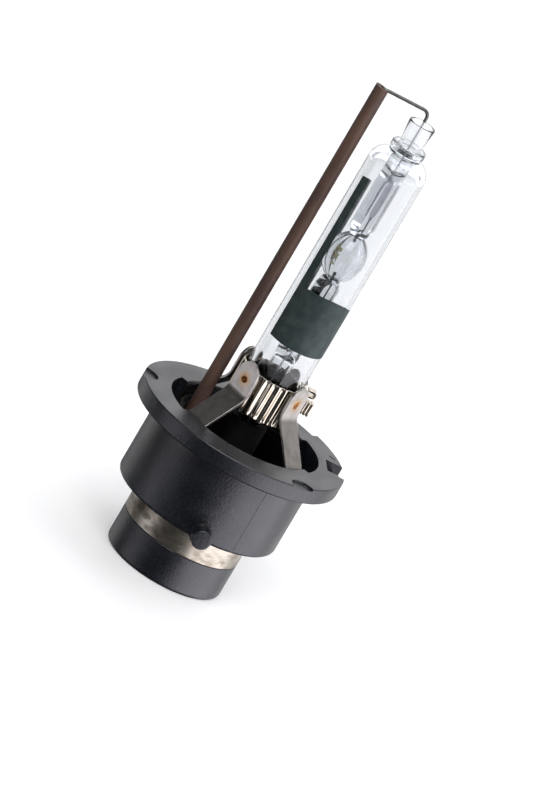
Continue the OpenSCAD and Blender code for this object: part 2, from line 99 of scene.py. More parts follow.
# %% Where the straps stand
STRAPS = {"front_left": 221, "front_right": 319, "rear_left": 139, "rear_right": 41}
strap_w, strap_t = 3.9, 0.4
well_r = anchor_r + GAP
foot_r = math.sqrt(well_r ** 2 - strap_w ** 2 / 4) - GAP
plate_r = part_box("clamp_sleeve")[1].x / MM + GAP
weld_z = (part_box("weld_spots")[0].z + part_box("weld_spots")[1].z) / 2 / MM
print("strap foot", round(foot_r, 2), "plate", round(plate_r, 2), "weld height", round(weld_z, 2))

# %% [markdown]
# ## The camera
# The bulb leans in the picture because the camera is rolled, not the bulb: the part
# stays upright in its own frame, where its sizes are easy to read. A long lens far away
# keeps the sides nearly parallel, as in a catalogue picture.

# %% Camera
AZIMUTH, ELEVATION, ROLL = (math.radians(a) for a in (-11.5, 17.6, 30.6))
DISTANCE, LENS = 1.2, 385
AIM_RIGHT, AIM_UP = 4.1, 3.5  # in mm, from the middle of the flange's top
side = Vector((math.cos(AZIMUTH), math.sin(AZIMUTH), 0))
back = Vector((math.sin(AZIMUTH) * math.cos(ELEVATION),
               -math.cos(AZIMUTH) * math.cos(ELEVATION), math.sin(ELEVATION)))
above = back.cross(side)
cam_right = math.cos(ROLL) * side + math.sin(ROLL) * above
cam_up = math.cos(ROLL) * above - math.sin(ROLL) * side
aim = Vector((0, 0, flange_top)) + AIM_RIGHT * cam_right + AIM_UP * cam_up
camera = bpy.data.objects.new("camera", bpy.data.cameras.new("camera"))
camera.matrix_world = Matrix.Translation(aim * MM + DISTANCE * back) @ Matrix(
    (cam_right, cam_up, back)).transposed().to_4x4()
camera.data.lens = LENS
camera.data.clip_start, camera.data.clip_end = 0.1, 20
bpy.context.scene.collection.objects.link(camera)
bpy.context.scene.camera = camera
print("camera at", [round(c, 3) for c in camera.location])

# %% [markdown]
# ## Tools for finishes
# A finish could be painted as an image, but that needs every part unwrapped. Here each
# material is one Principled shader with noise in front of it, in Object coordinates,
# so a pattern has its real size on every part. Colours are written as sRGB hex, as a
# colour picker gives them, and turned to linear light once. A pattern's scale is the
# inverse of its real size, because Object coordinates are in metres.

# %% Colour, scale, node and material helpers
def linear(hex_colour):
    """Linear RGBA of an sRGB hex colour."""
    channels = [int(hex_colour[i:i + 2], 16) / 255 for i in (1, 3, 5)]
    return [c / 12.92 if c <= 0.04045 else ((c + 0.055) / 1.055) ** 2.4
            for c in channels] + [1.0]


def per(size_mm):
    """Texture scale that makes one feature size_mm long."""
    return 1 / (size_mm * MM)


def add_node(tree, kind, inputs=None, **settings):
    """Add a node, set its properties, and fill or link its inputs."""
    node = tree.nodes.new(kind)
    for name, value in settings.items():
        setattr(node, name, value)
    for key, value in (inputs or {}).items():
        if isinstance(value, bpy.types.NodeSocket):
            tree.links.new(value, node.inputs[key])
        else:
            node.inputs[key].default_value = value
    return node


def new_material(name, colour, roughness, **extra):
    """A Principled material; returns it with its tree, shader and Object coordinates."""
    material = bpy.data.materials.new(name)
    material.use_nodes = True
    tree = material.node_tree
    shader = tree.nodes["Principled BSDF"]
    shader.inputs["Base Color"].default_value = linear(colour)
    shader.inputs["Roughness"].default_value = roughness
    for key, value in extra.items():
        shader.inputs[key.replace("_", " ")].default_value = value
    place = add_node(tree, "ShaderNodeTexCoord").outputs["Object"]
    return material, tree, shader, place


# %% [markdown]
# Two things happen to every surface here: it takes on a second colour in patches, and
# it has a grain. Each is a short chain of nodes that starts with the same noise.

# %% Patches of colour and surface grain
def pattern(tree, place, size_mm, detail, stretch=(1, 1, 1), part=None, out=(0, 1)):
    """Noise size_mm long, longer along stretch, with part of its range spread over out."""
    scaled = add_node(tree, "ShaderNodeMapping", {
        "Vector": place, "Scale": [1 / s for s in stretch]}).outputs["Vector"]
    level = add_node(tree, "ShaderNodeTexNoise", {
        "Vector": scaled, "Scale": per(size_mm), "Detail": detail}).outputs["Fac"]
    if part is None:
        return level
    return add_node(tree, "ShaderNodeMapRange", {
        "Value": level, "From Min": part[0], "From Max": part[1],
        "To Min": out[0], "To Max": out[1]}, interpolation_type="SMOOTHSTEP").outputs["Result"]


def stain(tree, shader, place, colour, size_mm, detail, part=None, most=1, stretch=(1, 1, 1)):
    """Lay patches of a colour over the base colour; returns how strong they are."""
    base = shader.inputs["Base Color"]
    under = base.links[0].from_socket if base.is_linked else base.default_value[:]
    amount = pattern(tree, place, size_mm, detail, stretch, part, (0, most))
    tree.links.new(add_node(tree, "ShaderNodeMix", {
        0: amount, 6: under, 7: linear(colour)}, data_type="RGBA").outputs[2], base)
    return amount


def grain(tree, shader, place, size_mm, detail, depth_mm, strength, stretch=(1, 1, 1)):
    """Bump the surface with noise that is size_mm long and depth_mm deep."""
    height = pattern(tree, place, size_mm, detail, stretch)
    tree.links.new(add_node(tree, "ShaderNodeBump", {
        "Height": height, "Distance": depth_mm * MM, "Strength": strength}).outputs["Normal"],
        shader.inputs["Normal"])


# %% [markdown]
# ## Plastics
# The base is glass-filled PPS, moulded black: a hard satin plastic with a fine grain
# from its filler, slightly clouded where the melt flowed, and with scuffs from
# handling. The grain breaks up the highlights and the clouding keeps the black alive.
# One flat black would do for the colour, but then only the lights would tell the parts apart. The
# cup's plastic is matt and painted far darker than black plastic is, a painted shade that keeps the
# well dark.

# %% Moulded PPS, and the matt black of the inner parts with painted shade
base_plastic, tree, shader, place = new_material(
    "moulded_glass_filled_pps", "#07080d", 0.46, IOR=1.6)
stain(tree, shader, place, "#0f1119", 5.0, 4, (0.3, 0.7))
stain(tree, shader, place, "#1f222c", 0.3, 4, (0.42, 0.72), 0.75)
stain(tree, shader, place, "#45464c", 0.9, 6, (0.66, 0.74), 0.5, (1, 1, 2.5))
# the clouds are glossier and duller as well as lighter and darker
tree.links.new(pattern(tree, place, 5.0, 4, part=(0.3, 0.7), out=(0.34, 0.43)),
               shader.inputs["Roughness"])
# the filler's grain is 0.05 mm; drawn at 0.3 mm so that it shows
grain(tree, shader, place, 0.3, 3, 0.04, 1.0)

# the cup and the stub sleeve are painted near-black, darker than their plastic, as painted shade in
# the well
cup_plastic, tree, shader, place = new_material(
    "cup_plastic_painted_shade_black", "#030304", 0.8, IOR=1.5, Specular_IOR_Level=0.2)
stain(tree, shader, place, "#08080a", 1.5, 4, (0.45, 0.8))
grain(tree, shader, place, 0.3, 2, 0.01, 0.5)
print("plastics:", base_plastic.name, cup_plastic.name)

# %% [markdown]
# ## Metals
# Each metal is told apart by how it was worked: the contact ring is rolled nickel
# silver with brush lines round it and tarnish from fingers, the straps are satin
# rolled stainless with heat tint round their welds, and the clamp is bright nickel.
# The tint could be a decal on each strap. Measured from the weld instead, one material
# serves all four straps and the tint follows the metal round its edges.

# %% Nickel silver of the contact ring
nickel_silver, tree, shader, place = new_material(
    "rolled_nickel_silver", "#a69f93", 0.38, Metallic=1.0)
tarnish = stain(tree, shader, place, "#8a8174", 0.8, 8, (0.4, 0.7), stretch=(2, 2, 1))
stain(tree, shader, place, "#5c5247", 3.0, 6, (0.48, 0.66), 0.85, (1.6, 1.6, 1))
tree.links.new(add_node(tree, "ShaderNodeMapRange", {
    "Value": tarnish, "To Min": 0.32, "To Max": 0.44},
    interpolation_type="SMOOTHSTEP").outputs["Result"], shader.inputs["Roughness"])
# brush lines run round the ring; real ones are 0.02 mm apart, drawn at 0.1 mm
grain(tree, shader, place, 0.1, 3, 0.006, 0.7, (25, 25, 1))
print("ring:", nickel_silver.name)

# %% Satin stainless of the straps, with heat tint round each weld
strap_steel, tree, shader, place = new_material(
    "rolled_stainless_strip", "#b5afa9", 0.3, Metallic=1.0)
stain(tree, shader, place, "#9d9893", 1.8, 4, (0.35, 0.7))
corner = math.radians(STRAPS["rear_right"])
weld_point = Vector(((plate_r + strap_t) * math.cos(corner),
                     (plate_r + strap_t) * math.sin(corner), weld_z)) * MM
# the straps mirror each other in both planes, so one corner stands for all of them
folded = add_node(tree, "ShaderNodeVectorMath", {0: place}, operation="ABSOLUTE")
away = add_node(tree, "ShaderNodeVectorMath", {
    0: folded.outputs["Vector"], 1: weld_point}, operation="DISTANCE").outputs["Value"]
wander = pattern(tree, place, 0.7, 3, part=(0.2, 0.8), out=(-0.3 * MM, 0.3 * MM))
ragged = add_node(tree, "ShaderNodeMath", {0: away, 1: wander}, operation="ADD").outputs["Value"]
# straw furthest out and brown at the weld, as the temper colours come
for colour, inner, outer, most in (("#c39a63", 0.6, 1.5, 0.6), ("#7d4a24", 0.4, 0.75, 0.8)):
    heat = add_node(tree, "ShaderNodeMapRange", {
        "Value": ragged, "From Min": inner * MM, "From Max": outer * MM,
        "To Min": most, "To Max": 0}, interpolation_type="SMOOTHSTEP").outputs["Result"]
    under = shader.inputs["Base Color"].links[0].from_socket
    tree.links.new(add_node(tree, "ShaderNodeMix", {
        0: heat, 6: under, 7: linear(colour)}, data_type="RGBA").outputs[2],
        shader.inputs["Base Color"])
grain(tree, shader, place, 0.12, 2, 0.004, 0.5)
print("straps:", strap_steel.name, "weld point", [round(c / MM, 2) for c in weld_point], "mm")

# %% Bright nickel of the clamp, the weld nuggets, brass
clamp_nickel, tree, shader, place = new_material(
    "bright_nickel_plate", "#c2b8a9", 0.15, Metallic=1.0)
stain(tree, shader, place, "#86755f", 2.4, 4, (0.45, 0.75), 0.5, (1, 1, 3))
grain(tree, shader, place, 0.8, 2, 0.01, 0.35)

weld, tree, shader, place = new_material("resistance_weld", "#a4672f", 0.35, Metallic=1.0)
stain(tree, shader, place, "#4c2c18", 0.3, 3, (0.4, 0.65))
grain(tree, shader, place, 0.15, 2, 0.02, 0.6)

contact_brass, tree, shader, place = new_material("turned_brass", "#b8975a", 0.3, Metallic=1.0)
stain(tree, shader, place, "#d2b878", 1.2, 4)
grain(tree, shader, place, 0.15, 2, 0.005, 0.6, (12, 12, 1))
print("bright metals:", clamp_nickel.name, weld.name, contact_brass.name)

# %% Dull wires, foils and electrodes, with their draw lines along the lamp
return_metal, tree, shader, place = new_material(
    "drawn_nickel_wire", "#505253", 0.36, Metallic=1.0)
stain(tree, shader, place, "#74766f", 1.0, 4, stretch=(1, 1, 4))
grain(tree, shader, place, 0.1, 2, 0.004, 0.6, (1, 1, 8))

molybdenum, tree, shader, place = new_material(
    "rolled_molybdenum", "#a3a4aa", 0.4, Metallic=1.0)
stain(tree, shader, place, "#c6c7cc", 0.8, 3)
grain(tree, shader, place, 0.2, 2, 0.005, 0.5, (1, 1, 6))

tungsten, tree, shader, place = new_material("sintered_tungsten", "#2c2c30", 0.5, Metallic=1.0)
stain(tree, shader, place, "#4c4c50", 0.3, 3)
grain(tree, shader, place, 0.1, 2, 0.004, 0.5)
print("dull metals:", return_metal.name, molybdenum.name, tungsten.name)

# %% [markdown]
# ## Glass, ceramic, paint and cement
# Fused quartz has an index of 1.458 and is nearly colourless; drawing and flame
# working leave it with a slow ripple that makes its reflections run in streaks. A
# tinted surface would grey the whole glass alike, so the tint is in its volume. The
# return wire's tube is unglazed brown ceramic with faint lines from extrusion. The
# mask is a fired green-black coating.

# %% Quartz
quartz, tree, shader, place = new_material(
    "drawn_fused_quartz", "#fafbfc", 0.0, IOR=1.458, Transmission_Weight=1.0)
grain(tree, shader, place, 3.0, 2, 0.05, 0.5, (1, 1, 5))
# the long paths along the wall lose a little light, which greys the tube's edges
absorb = add_node(tree, "ShaderNodeVolumeAbsorption", {
    "Color": (0.46, 0.49, 0.52, 1), "Density": 225})
tree.links.new(absorb.outputs["Volume"], tree.nodes["Material Output"].inputs["Volume"])
print("glass:", quartz.name)

# %% Ceramic and mask
brown_ceramic, tree, shader, place = new_material(
    "extruded_brown_ceramic", "#412d25", 0.62, IOR=1.6, Specular_IOR_Level=0.35)
stain(tree, shader, place, "#584134", 2.0, 5, (0.35, 0.7), stretch=(1, 1, 4))
stain(tree, shader, place, "#745848", 0.25, 3, (0.62, 0.75), 0.5)
grain(tree, shader, place, 0.2, 3, 0.01, 0.6, (1, 1, 10))

mask_coating, tree, shader, place = new_material(
    "fired_mask_coating", "#2d3837", 0.5, IOR=1.45, Specular_IOR_Level=0.2)
stain(tree, shader, place, "#3a4543", 1.4, 5, (0.35, 0.7))
grain(tree, shader, place, 0.2, 3, 0.006, 0.6)
print("fired finishes:", brown_ceramic.name, mask_coating.name)

# %% Salts and cement
metal_salts, tree, shader, place = new_material("condensed_metal_salts", "#b39b4a", 0.45, IOR=1.7)
stain(tree, shader, place, "#e0d49a", 0.5, 5, (0.4, 0.6))
# the film is broken, so the glass shows through between the crystals
tree.links.new(pattern(tree, place, 0.5, 5, part=(0.44, 0.56), out=(0.12, 1)),
               shader.inputs["Alpha"])
grain(tree, shader, place, 0.15, 3, 0.03, 0.8)

cement, tree, shader, place = new_material("grey_lamp_cement", "#57534c", 0.85)
stain(tree, shader, place, "#7d786e", 0.6, 6)
grain(tree, shader, place, 0.4, 5, 0.05, 0.8)
print("minerals:", metal_salts.name, cement.name)

# %% [markdown]
# ## Tools for shapes
# A turned part is a half section spun about the lamp axis. Each corner of the section
# carries its own rounding, which a vertex bevel makes before the spin, so every edge
# of the part has a radius that catches the light. Cuts are made with Booleans.

# %% Moving and slicing
def turn_by(bm, degrees, axis="Z"):
    """Turn a mesh about an axis through the origin."""
    bmesh.ops.rotate(bm, verts=bm.verts, matrix=Matrix.Rotation(math.radians(degrees), 3, axis))


def shift(bm, by):
    """Move a mesh."""
    bmesh.ops.translate(bm, vec=by, verts=bm.verts)


def slice_off(bm, point, normal, above):
    """Cut a solid with a plane, drop what is above or below it, and close the cut."""
    bmesh.ops.bisect_plane(bm, geom=bm.verts[:] + bm.edges[:] + bm.faces[:], dist=1e-5,
                           plane_co=point, plane_no=normal,
                           clear_outer=above, clear_inner=not above)
    bmesh.ops.holes_fill(bm, edges=[e for e in bm.edges if e.is_boundary])


# %% Turned and swept shapes
def spun(profile, closed, start, angle, steps):
    """Spin a section of (radius, height[, rounding]) corners about the lamp axis."""
    bm = bmesh.new()
    corners = [(bm.verts.new((p[0], 0, p[1])), p[2] if len(p) > 2 else 0) for p in profile]
    points = [v for v, _ in corners]
    for pair in zip(points, points[1:] + (points[:1] if closed else [])):
        bm.edges.new(pair)
    for rounding in sorted({r for _, r in corners if r}):
        bmesh.ops.bevel(bm, geom=[v for v, r in corners if r == rounding], offset=rounding,
                        affect="VERTICES", segments=5, profile=0.5, material=-1)
    turn_by(bm, start)
    full = angle == 360
    bmesh.ops.spin(bm, geom=bm.verts[:] + bm.edges[:], cent=(0, 0, 0), axis=(0, 0, 1),
                   dvec=(0, 0, 0), angle=math.radians(angle), steps=steps,
                   use_merge=full, use_duplicate=False)
    bmesh.ops.remove_doubles(bm, verts=bm.verts, dist=1e-5)
    if not full:
        bmesh.ops.holes_fill(bm, edges=[e for e in bm.edges if e.is_boundary])
    bmesh.ops.recalc_face_normals(bm, faces=bm.faces)
    return bm


def turned(profile, closed=False, steps=96):
    """A full turn of a section; an open section starts and ends on the axis."""
    return spun(profile, closed, 0, 360, steps)


def swept(radii, heights, start, end, steps):
    """Part of a ring with a rectangular section."""
    (r0, r1), (z0, z1) = radii, heights
    return spun([(r0, z0), (r1, z0), (r1, z1), (r0, z1)], True, start, end - start, steps)


def block(low, high, turn=0):
    """A box between two corners, then turned about the lamp axis."""
    bm = bmesh.new()
    low, high = Vector(low), Vector(high)
    bmesh.ops.create_cube(bm, size=1)
    bmesh.ops.scale(bm, vec=high - low, verts=bm.verts)
    shift(bm, (low + high) / 2)
    turn_by(bm, turn)
    return bm


def joined(*parts):
    """Several meshes as one."""
    whole = bmesh.new()
    for part in parts:
        mesh = bpy.data.meshes.new("part")
        part.to_mesh(mesh)
        part.free()
        whole.from_mesh(mesh)
        bpy.data.meshes.remove(mesh)
    return whole


# %% Cutting and finishing
def scratch_object(bm):
    """A temporary object that holds a mesh while modifiers work on it."""
    mesh = bpy.data.meshes.new("scratch")
    bm.to_mesh(mesh)
    bm.free()
    obj = bpy.data.objects.new("scratch", mesh)
    bpy.context.scene.collection.objects.link(obj)
    return obj


def carve(bm, cutters, edge=0.0):
    """Cut shapes out of a mesh, and round the edges that this leaves."""
    body = scratch_object(bm)
    tools = [scratch_object(cutter) for cutter in cutters]
    for tool in tools:
        body.modifiers.new("cut", "BOOLEAN").object = tool
    if edge:
        rounding = body.modifiers.new("edge", "BEVEL")
        rounding.width, rounding.segments = edge, 3
        rounding.limit_method, rounding.angle_limit = "ANGLE", math.radians(50)
    done = bmesh.new()
    done.from_mesh(body.evaluated_get(bpy.context.evaluated_depsgraph_get()).to_mesh())
    for obj in [body, *tools]:
        bpy.data.meshes.remove(obj.data)
    return done


def piece(name, bm, material, slot, *nodes, crease=35):
    """Finish a mesh as a piece of the bulb that stands for some CAD nodes."""
    bmesh.ops.scale(bm, vec=(MM, MM, MM), verts=bm.verts)
    loose = sum(1 for e in bm.edges if len(e.link_faces) != 2)
    mesh = bpy.data.meshes.new(name)
    bm.to_mesh(mesh)
    bm.free()
    mesh.materials.clear()
    mesh.materials.append(material)
    mesh.shade_smooth()
    mesh.set_sharp_from_angle(angle=math.radians(crease))
    obj = bpy.data.objects.new(name, mesh)
    bpy.context.scene.collection.objects.link(obj)
    # the large faces keep their own normals, and the small roundings take up the turn
    level = obj.modifiers.new("level", "WEIGHTED_NORMAL")
    level.keep_sharp = True
    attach(obj, "root")
    if nodes:
        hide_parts(*nodes)
    print(f"{name}: {len(mesh.polygons)} faces, {loose} open edges,",
          "size", [round(d / MM, 2) for d in obj.dimensions], "mm")
    return obj


# %% [markdown]
# ## The base moulding
# One injection moulding: a neck for the contact ring, the body, and the flange with
# its reference features, hollow on top for the cup and below for the connector. It is
# turned as one section, and then the keyway, the rim step, the half-round recesses,
# the side pockets of the well and the fine parting lines of the mould are cut out.

# %% Section of the moulding
body_r, flange_t = 12.5, 2.5
socket_r, socket_top, neck_r, spigot_r, lip = 5.2, 8.0, 8.63, 7.4, 0.8
shank_r = 0.92  # the hole for the centre contact's shank
flange_low = flange_top - flange_t
housing = turned([
    (shank_r, socket_top), (socket_r, socket_top), (socket_r, lip, 0.1), (spigot_r, lip),
    (spigot_r, ring_low), (neck_r, ring_low), (neck_r, ring_high),
    (body_r, ring_high, 0.6), (body_r, flange_low, 0.15), (flange_r, flange_low, 0.3),
    (flange_r, flange_top, 0.22), (well_r, flange_top, 0.18), (well_r, well_floor),
    (shank_r, well_floor)], closed=True, steps=144)
print("moulding:", len(housing.faces), "faces before the cuts")

# %% Keyway with its pocket, and the step in the rim
through = (flange_low - 0.2, flange_top + 0.2)
key_turn, key_half, key_depth = 2, 2.25, 1.1
pocket_right, pocket_left, pocket_reach, pocket_depth = -1.85, 2.24, 2.9, 1.2
step_start, step_end, step_depth = 41, 69, 1.4
cutters = [
    block((flange_r - key_depth, -key_half, through[0]),
          (flange_r + 1, key_half, through[1]), key_turn),
    block((flange_r - pocket_reach, pocket_right, flange_top - pocket_depth),
          (flange_r + 0.1, pocket_left, through[1]), key_turn),
    swept((flange_r - step_depth, flange_r + 1), through, step_start, step_end, 14)]
print("cutters:", len(cutters))

# %% Slit and half-round recesses in the flange
slit_half_l, slit_half_w, slit_depth, slit_inset, slit_skew, slit_at = 0.55, 0.17, 0.5, 1.2, -48, 18
slit = block((-slit_half_l, -slit_half_w, flange_top - slit_depth),
             (slit_half_l, slit_half_w, through[1]), slit_skew)
shift(slit, (flange_r - slit_inset, 0, 0))
turn_by(slit, slit_at)
cutters.append(slit)
recess_r, recess_floor, recess_inset = 1.9, flange_top - 0.35, 0.2
for angle in (-55, 63, 176):
    recess = turned([(0, recess_floor), (recess_r, recess_floor, 0.05),
                     (recess_r, through[1]), (0, through[1])], steps=48)
    shift(recess, (flange_r - recess_inset, 0, 0))
    turn_by(recess, angle)
    cutters.append(recess)
print("cutters:", len(cutters))

# %% Side pockets of the well, parting lines, and the cut itself
side_half, side_depth, side_wall = 32, 5, 0.7
for angle in (0, 180):
    cutters.append(swept((well_r - 1, body_r - side_wall), (flange_top - side_depth, through[1]),
                         angle - side_half, angle + side_half, 24))
line_depth, line_half = 0.03, 0.04
for angle in (-115, -65, 65, 115):
    cutters.append(block((body_r - line_depth, -line_half, ring_high - 1),
                         (body_r + 0.2, line_half, flange_low - 0.01), angle))
housing = carve(housing, cutters, edge=0.07)
piece("base_moulding", housing, base_plastic, "base_plastic", "base_housing")

# %% [markdown]
# The two bayonet pegs are part of the same moulding, but each has an axis of its own,
# so they can't be in the body's section. They are turned as little stepped buttons,
# laid on their sides and sunk into the body.

# %% Bayonet pegs
peg_z, peg_end, peg_r = ring_high + 1.05, body_r + 2.3, 1.45
pad_end, pad_r = body_r + 0.15, 1.7
pegs = []
for facing in (90, -90):
    peg = turned([(0, body_r - 1), (pad_r, body_r - 1), (pad_r, pad_end, 0.06),
                  (peg_r, pad_end, 0.05), (peg_r, peg_end, 0.18), (0, peg_end)], steps=48)
    turn_by(peg, facing, "X")
    shift(peg, (0, 0, peg_z))
    pegs.append(peg)
piece("bayonet_pegs", joined(*pegs), base_plastic, "base_plastic")

# %% [markdown]
# ## Barrel, contact ring and centre contact
# The lower barrel is a separate sleeve that traps the contact ring against the body.
# The igniter's plug touches the ring outside and the riveted contact in the well. All
# three are turned. As separate pieces they meet in real joints, which a groove drawn
# on one piece would only imitate.

# %% Barrel, ring and contact
piece("lower_barrel_sleeve", turned([
    (socket_r, foot_z, 0.12), (barrel_r, foot_z, 0.6), (barrel_r, barrel_top, 0.15),
    (spigot_r + GAP, barrel_top), (spigot_r + GAP, lip), (socket_r, lip)],
    closed=True, steps=144), base_plastic, "base_plastic", "lower_barrel")
piece("contact_band", turned([
    (neck_r + GAP, ring_low), (ring_r, ring_low, 0.1), (ring_r, ring_high, 0.06),
    (neck_r + GAP, ring_high)], closed=True, steps=144),
    nickel_silver, "nickel_silver", "contact_ring")
contact_r, contact_low, contact_top = span("centre_contact")
rivet_r = 1.5
piece("riveted_contact", turned([
    (0, contact_low), (contact_r, contact_low, 0.35), (contact_r, socket_top, 0.05),
    (shank_r - GAP, socket_top), (shank_r - GAP, well_floor), (rivet_r, well_floor),
    (rivet_r, contact_top, 0.25), (0, contact_top)], steps=48),
    contact_brass, "contact_brass", "centre_contact")

# %% [markdown]
# ## The cup and the stub sleeve
# Inside the straps the well is lined by an insulating cup with a ridge on its rim, and a short
# sleeve stands round the burner's stub. Both are black plastic, painted darker than it is as a
# painted shade for the well, and are mostly seen as a dark hollow with a few edges in it, so two
# turned sections are enough, with the roundings that catch a thin line of light.

# %% Cup and sleeve
cup_bore, cup_rim = cup_r - 1.1, cup_top - 0.7
ridge_out, ridge_in = cup_r - 0.2, cup_r - 0.65
piece("cup_liner", turned([
    (cup_bore, well_floor), (cup_r, well_floor), (cup_r, cup_rim, 0.15),
    (ridge_out, cup_rim), (ridge_out, cup_top, 0.12), (ridge_in, cup_top, 0.12),
    (ridge_in, cup_rim), (cup_bore, cup_rim, 0.12)], closed=True),
    cup_plastic, "cup_plastic", "inner_cup")
sleeve_r, sleeve_low, sleeve_top = span("stub_sleeve")
sleeve_bore = 1.75
piece("stub_insulator", turned([
    (sleeve_bore, sleeve_low), (sleeve_r, sleeve_low), (sleeve_r, sleeve_top, 0.35),
    (sleeve_bore, sleeve_top, 0.15)], closed=True, steps=64),
    cup_plastic, "cup_plastic", "stub_sleeve")

# %% [markdown]
# ## The outer bulb
# A quartz tube closed at the bottom with a round heel and drawn in at the top to a
# grooved collar, where it is fused to the arc tube. Its wall is real here: light has
# to bend at the outside and at the inside for the edges to turn grey.

# %% Outer bulb
wall, slope = 0.8, math.tan(math.radians(20))
collar_low, collar_r, bore = bulb_high - 1.5, bulb_r - 1.8, 1.67
groove_r, dish_r, dish_z = collar_r - 0.25, collar_r - 0.4, bulb_high - 0.5
outer_corner = collar_low - (bulb_r - collar_r + 0.2) * slope
inner_corner = collar_low - wall - (bulb_r - wall - bore) * slope
piece("outer_envelope", turned([
    (bore, bulb_low, 0.25), (bulb_r, bulb_low, 1.5), (bulb_r, outer_corner, 1.54),
    (groove_r + 0.05, collar_low, 0.1), (groove_r, collar_low + 0.22, 0.08),
    (collar_r, collar_low + 0.45, 0.12), (collar_r, bulb_high, 0.25),
    (dish_r, bulb_high, 0.12), (dish_r, dish_z, 0.1),
    (bore, dish_z), (bore, collar_low - wall, 0.2),
    (bulb_r - wall, inner_corner, 1.19), (bulb_r - wall, bulb_low + wall, 0.9),
    (bore, bulb_low + wall, 0.2)], closed=True, steps=128),
    quartz, "quartz", "outer_bulb", crease=50)

# %% [markdown]
# ## The light mask
# The coating is a wide band with two stripes up the sides, which shade the reflector
# where a low beam must have a sharp edge. It could be a second colour on the glass,
# but then it would be as glossy as the glass. So it is a skin just off the glass with
# the window cut out of it. The stripes' tops and the window's lower edge are cut by
# tilted planes, so both are higher at the front than at the back.

# %% Light mask
_, mask_low, mask_high = span("light_mask")
skin = (bulb_r + GAP, bulb_r + 0.07)
window_start, window_end, stripe_w, band_h = -135.5, 113.5, 18, 7.7
tilt = math.radians(15.6)
tilted = (0, math.sin(tilt), math.cos(tilt))
window = swept((bulb_r - 1, bulb_r + 1), (mask_low + 1, mask_high + 1),
               window_start, window_end, 83)
slice_off(window, (0, 0, mask_low + band_h), tilted, above=False)
# the front stripe's inner corner is the mask's highest point
corner_y = skin[1] * math.sin(math.radians(window_start))
blank = swept(skin, (mask_low, mask_high + 1), window_start - stripe_w, window_end + stripe_w, 95)
slice_off(blank, (0, corner_y, mask_high), tilted, above=True)
mask = carve(blank, [window])
piece("painted_mask", mask, mask_coating, "mask_coating", "light_mask")

# %% [markdown]
# ## The arc tube
# The burner starts as a quartz tube. Two flat seals are pressed over the foils, and
# the chamber between them is blown to a bulge. So it is turned as a round blank and
# then pressed: points near the seals are not let further out than the jaws.

# %% Turn the blank
bulge_r, stub_low, mouth_z = span("arc_tube")
arc_z, bulge_half, bulge_neck = 52.7, 3.5, 1.25
seal_r, stub_r, waist_r, mouth_r, tube_wall = 1.9, 1.65, 1.3, 2.0, 0.35
stub_bore, mouth_bore, flare_z = stub_r - tube_wall, mouth_r - tube_wall, 71.2
# heights at which the glass starts to change, is a full seal, starts again, is changed
LOWER_SEAL, UPPER_SEAL = (35.6, 37.6, 47.6, 49.0), (56.4, 57.8, 64.8, 66.8)


def bulge(radius, half, neck, steps=16):
    """Points of the one arc that makes a bulge's side, from the lower neck to the upper."""
    arc = (half ** 2 + (radius - neck) ** 2) / (2 * (radius - neck))
    heights = [half * (2 * i / steps - 1) for i in range(steps + 1)]
    return [(radius - arc + math.sqrt(arc ** 2 - h ** 2), arc_z + h) for h in heights]


def tapered(r0, z0, r1, z1, steps=5):
    """Points along a straight taper."""
    return [(r0 + (r1 - r0) * i / steps, z0 + (z1 - z0) * i / steps) for i in range(steps + 1)]


burner = turned(
    [(0, LOWER_SEAL[0] + 0.6), (stub_bore, LOWER_SEAL[0], 0.5), (stub_bore, stub_low, 0.08),
     (stub_r, stub_low, 0.1)]
    + tapered(stub_r, LOWER_SEAL[0], seal_r, LOWER_SEAL[1])
    + tapered(seal_r, LOWER_SEAL[2], waist_r, LOWER_SEAL[3])
    + bulge(bulge_r, bulge_half, bulge_neck)
    + tapered(waist_r, UPPER_SEAL[0], seal_r, UPPER_SEAL[1])
    + tapered(seal_r, UPPER_SEAL[2], stub_r, UPPER_SEAL[3])
    + [(stub_r, flare_z, 0.5), (mouth_r, mouth_z, 0.12), (mouth_bore, mouth_z, 0.12),
       (stub_bore, flare_z, 0.5), (stub_bore, UPPER_SEAL[3] + 0.4, 0.5),
       (0, UPPER_SEAL[3] - 0.2)], steps=96)
print("burner blank:", len(burner.verts), "points")

# %% Press the seals flat and blow the chamber
SEAL_TURN = 40
seal_half = 0.95
# where each pair of jaws holds the glass, and how far it eases off below and above
JAWS = ((37.2, 48.2, 1.6, 1.0), (57.2, 65.2, 1.0, 1.6))
REACHED = ((35.3, 49.3), (56.1, 67))  # the heights between which glass is moved
chamber_r, chamber_half, chamber_end = 1.8, 3.4, 0.3
jaw = Vector((-math.sin(math.radians(SEAL_TURN)), math.cos(math.radians(SEAL_TURN)), 0))


def pressed(height):
    """How far from the middle plane the jaws let the glass stand at a height."""
    for low, high, fade_low, fade_high in JAWS:
        out = max((low - height) / fade_low, (height - high) / fade_high, 0)
        if out < 1:
            ease = out * out * (3 - 2 * out)
            return seal_half + (seal_r - seal_half) * ease
    return bulge_r


for vert in burner.verts:
    if any(low < vert.co.z < high for low, high in REACHED):
        limit, out = pressed(vert.co.z), vert.co.dot(jaw)
        vert.co -= jaw * (out - max(-limit, min(limit, out)))
chamber = turned([(0, arc_z - chamber_half)]
                 + bulge(chamber_r, chamber_half, chamber_end)[1:-1]
                 + [(0, arc_z + chamber_half)], steps=64)
bmesh.ops.reverse_faces(chamber, faces=chamber.faces)
piece("arc_burner", joined(burner, chamber), quartz, "quartz", "arc_tube", crease=40)

# %% [markdown]
# ## Inside the burner
# Tungsten electrodes meet thin molybdenum foils in the seals, and rod leads carry on
# outwards. The foils have feathered, lens-shaped edges so that the quartz can grip
# them: a spindle scaled flat has just that edge, which a thin box would not. A little
# metal salt has condensed on the chamber's wall, in a film made uneven by noise.

